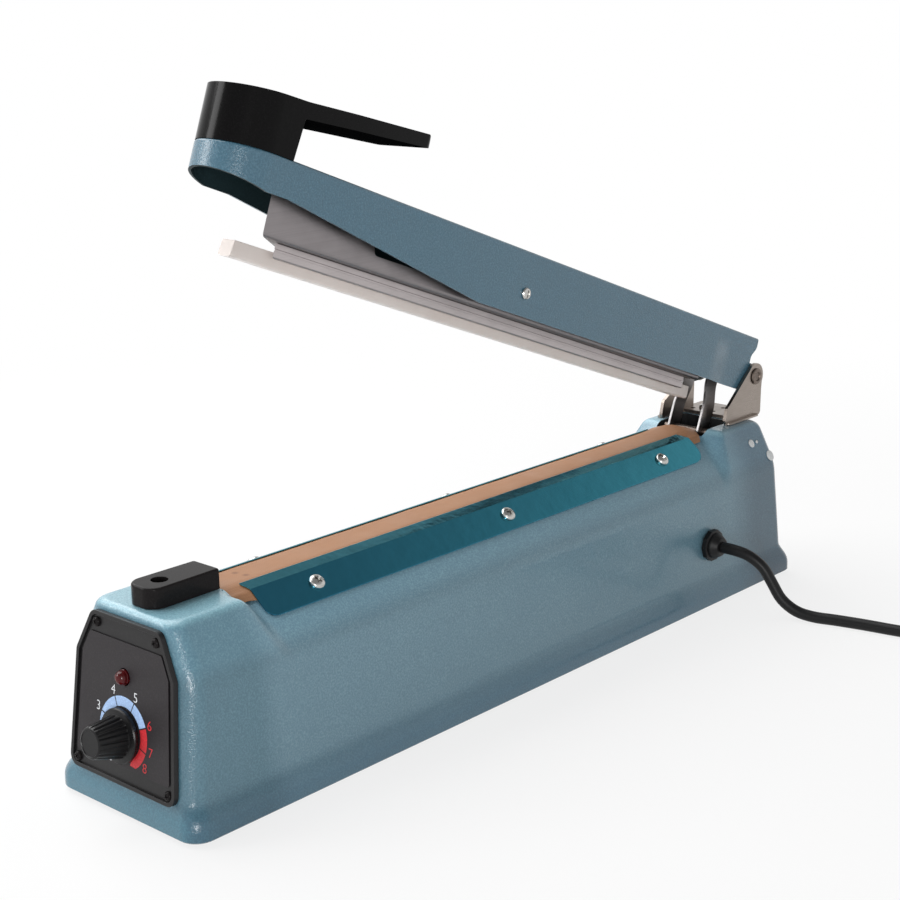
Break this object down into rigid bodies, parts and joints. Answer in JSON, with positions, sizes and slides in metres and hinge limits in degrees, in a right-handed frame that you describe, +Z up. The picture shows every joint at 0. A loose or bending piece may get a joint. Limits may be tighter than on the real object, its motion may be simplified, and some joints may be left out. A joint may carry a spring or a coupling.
{
  "type": "impulse heat sealer",
  "caption": "Bench impulse sealer: a sprung press arm with a rear hinge and front handle closes on a cloth-covered heated bed along a tapered cast housing with a timer dial",
  "frame": {"origin": "on the table, under the middle of the sealer's bounding box without its cord", "axes": "+Z up, +Y from the timer panel at the front to the hinge at the rear, +X to the side where the cord leaves"},
  "size_m": [0.2876, 0.5169, 0.2771],
  "materials": {
    "hammer_paint": "blue-grey hammer paint on cast and folded metal",
    "black_plastic": "black moulded plastic, glossy",
    "panel_plastic": "dark grey moulded panel and printed label",
    "black_rubber": "black rubber and flexible cord sheath",
    "clear_silicone": "whitish translucent silicone",
    "coated_cloth": "tan coated glass cloth",
    "blue_anodised": "bright blue-green anodised aluminium",
    "plated_steel": "plated sheet steel and screws",
    "mill_aluminium": "extruded aluminium",
    "brass": "brass terminal blocks",
    "copper_winding": "varnished copper winding",
    "core_steel": "stacked transformer sheets",
    "board_resin": "bare circuit board",
    "red_lens": "dark red lamp lens"
  },
  "bodies": {
    "base": {"base_housing": "hammer_paint", "bottom_plate": "plated_steel", "rubber_foot_1": "black_rubber", "rubber_foot_2": "black_rubber", "rubber_foot_3": "black_rubber", "rubber_foot_4": "black_rubber", "control_panel": "panel_plastic", "dial_plate": "panel_plastic", "panel_screw_1": "black_plastic", "panel_screw_2": "black_plastic", "panel_screw_3": "black_plastic", "panel_screw_4": "black_plastic", "indicator_lamp": "red_lens", "timer_potentiometer": "plated_steel", "circuit_board": "board_resin", "transformer_core": "core_steel", "transformer_winding": "copper_winding", "switch_body": "black_plastic", "element_bar": "mill_aluminium", "insulation_strip": "coated_cloth", "heating_element": "plated_steel", "element_terminal_front": "brass", "element_terminal_rear": "brass", "ptfe_cover": "coated_cloth", "clamp_plate_right": "blue_anodised", "clamp_plate_left": "blue_anodised", "clamp_screw_1": "plated_steel", "clamp_screw_2": "plated_steel", "clamp_screw_3": "plated_steel", "clamp_screw_4": "plated_steel", "clamp_screw_5": "plated_steel", "clamp_screw_6": "plated_steel", "stop_block": "black_plastic", "stop_block_screw": "plated_steel", "hinge_bracket": "plated_steel", "bracket_screw_1": "plated_steel", "bracket_screw_2": "plated_steel", "hinge_pin": "plated_steel", "spring_guide": "plated_steel", "return_spring": "plated_steel", "cable_gland": "black_rubber", "mains_cord": "black_rubber", "mains_cord_coil": "black_rubber", "cord_tie": "black_plastic", "mains_plug": "black_rubber"},
    "knob": {"timer_knob": "black_plastic", "potentiometer_shaft": "plated_steel"},
    "arm": {"arm_cover": "hammer_paint", "handle": "black_plastic", "press_bar_pivot": "plated_steel", "link_pin": "plated_steel"},
    "press_bar": {"press_bar_channel": "plated_steel", "rubber_carrier": "mill_aluminium", "silicone_strip": "clear_silicone"},
    "links": {"link_right": "plated_steel", "link_left": "plated_steel", "link_cross_pin": "plated_steel"},
    "lever": {"switch_lever": "plated_steel"}
  },
  "joints": [
    {"name": "arm_hinge", "type": "hinge", "parent": "base", "child": "arm", "pos_m": [0, 0.21185, 0.1048], "axis": [1, 0, 0], "range_deg": [0, 20.2], "stiffness_Nm_per_rad": 5, "springref_deg": -40.11, "deforming": ["return_spring"]},
    {"name": "press_bar_rock", "type": "hinge", "parent": "arm", "child": "press_bar", "pos_m": [0, 0.01986, 0.17667], "axis": [1, 0, 0], "range_deg": [-0.25, 0.25]},
    {"name": "link_swing", "type": "hinge", "parent": "arm", "child": "links", "pos_m": [0, 0.1891, 0.11162], "axis": [1, 0, 0], "range_deg": [-20.2, 0]},
    {"name": "switch_press", "type": "hinge", "parent": "base", "child": "lever", "pos_m": [-0.0123, 0.19504, 0.0641], "axis": [1, 0, 0], "range_deg": [0, 21.5]},
    {"name": "knob_turn", "type": "hinge", "parent": "base", "child": "knob", "pos_m": [0, -0.19852, 0.03418], "axis": [0, 0.994, -0.1093], "range_deg": [0, 308]}
  ],
  "couplings": [
    {"joint": "link_swing", "follows": "arm_hinge", "ratio": -1},
    {"joint": "switch_press", "follows": "arm_hinge", "ratio": 1.06}
  ]
}
